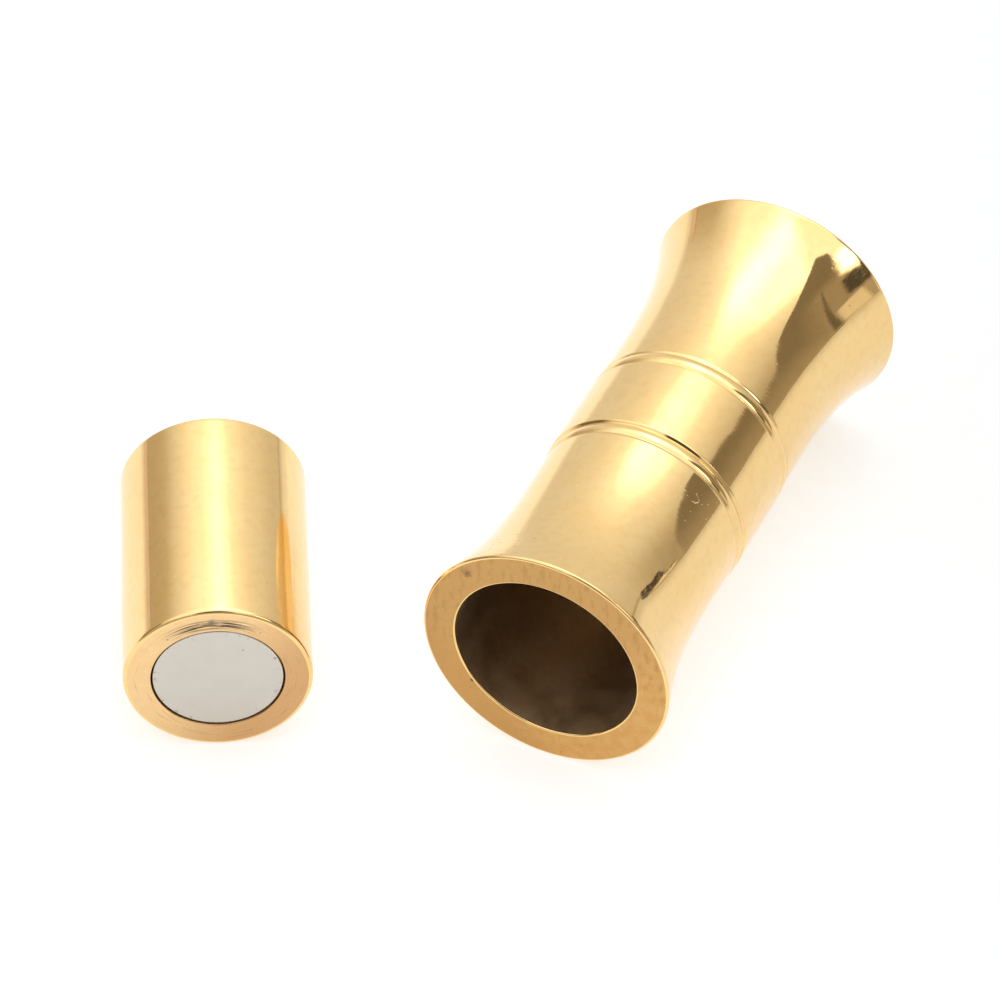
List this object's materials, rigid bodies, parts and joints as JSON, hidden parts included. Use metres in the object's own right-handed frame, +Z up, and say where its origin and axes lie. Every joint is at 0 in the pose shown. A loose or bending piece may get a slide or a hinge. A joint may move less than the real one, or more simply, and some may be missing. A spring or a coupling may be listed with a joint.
{
  "type": "magnetic cord clasp",
  "caption": "Open magnetic cord clasp: a flared, ringed socket tube with a deep round hole, beside the plain magnet-tipped plug that slides into it.",
  "frame": {"origin": "on the surface that the halves lie on, under the middle of the box round both", "axes": "+Z up; +Y along the socket's axis, from its mouth to its far end; +X across, from the plug towards the socket"},
  "size_m": [0.0241, 0.0278, 0.01],
  "materials": {
    "socket_gold": "gold-plated stainless steel, polished outside, satin on the end faces",
    "socket_magnet_nickel": "nickel-plated disc magnet, satin",
    "plug_gold": "gold-plated stainless steel, polished outside, satin on the end faces",
    "plug_magnet_nickel": "nickel-plated disc magnet, satin"
  },
  "bodies": {
    "root": {"socket_shell": "socket_gold", "socket_magnet": "socket_magnet_nickel", "plug_sleeve": "plug_gold", "plug_magnet": "plug_magnet_nickel"}
  },
  "joints": []
}
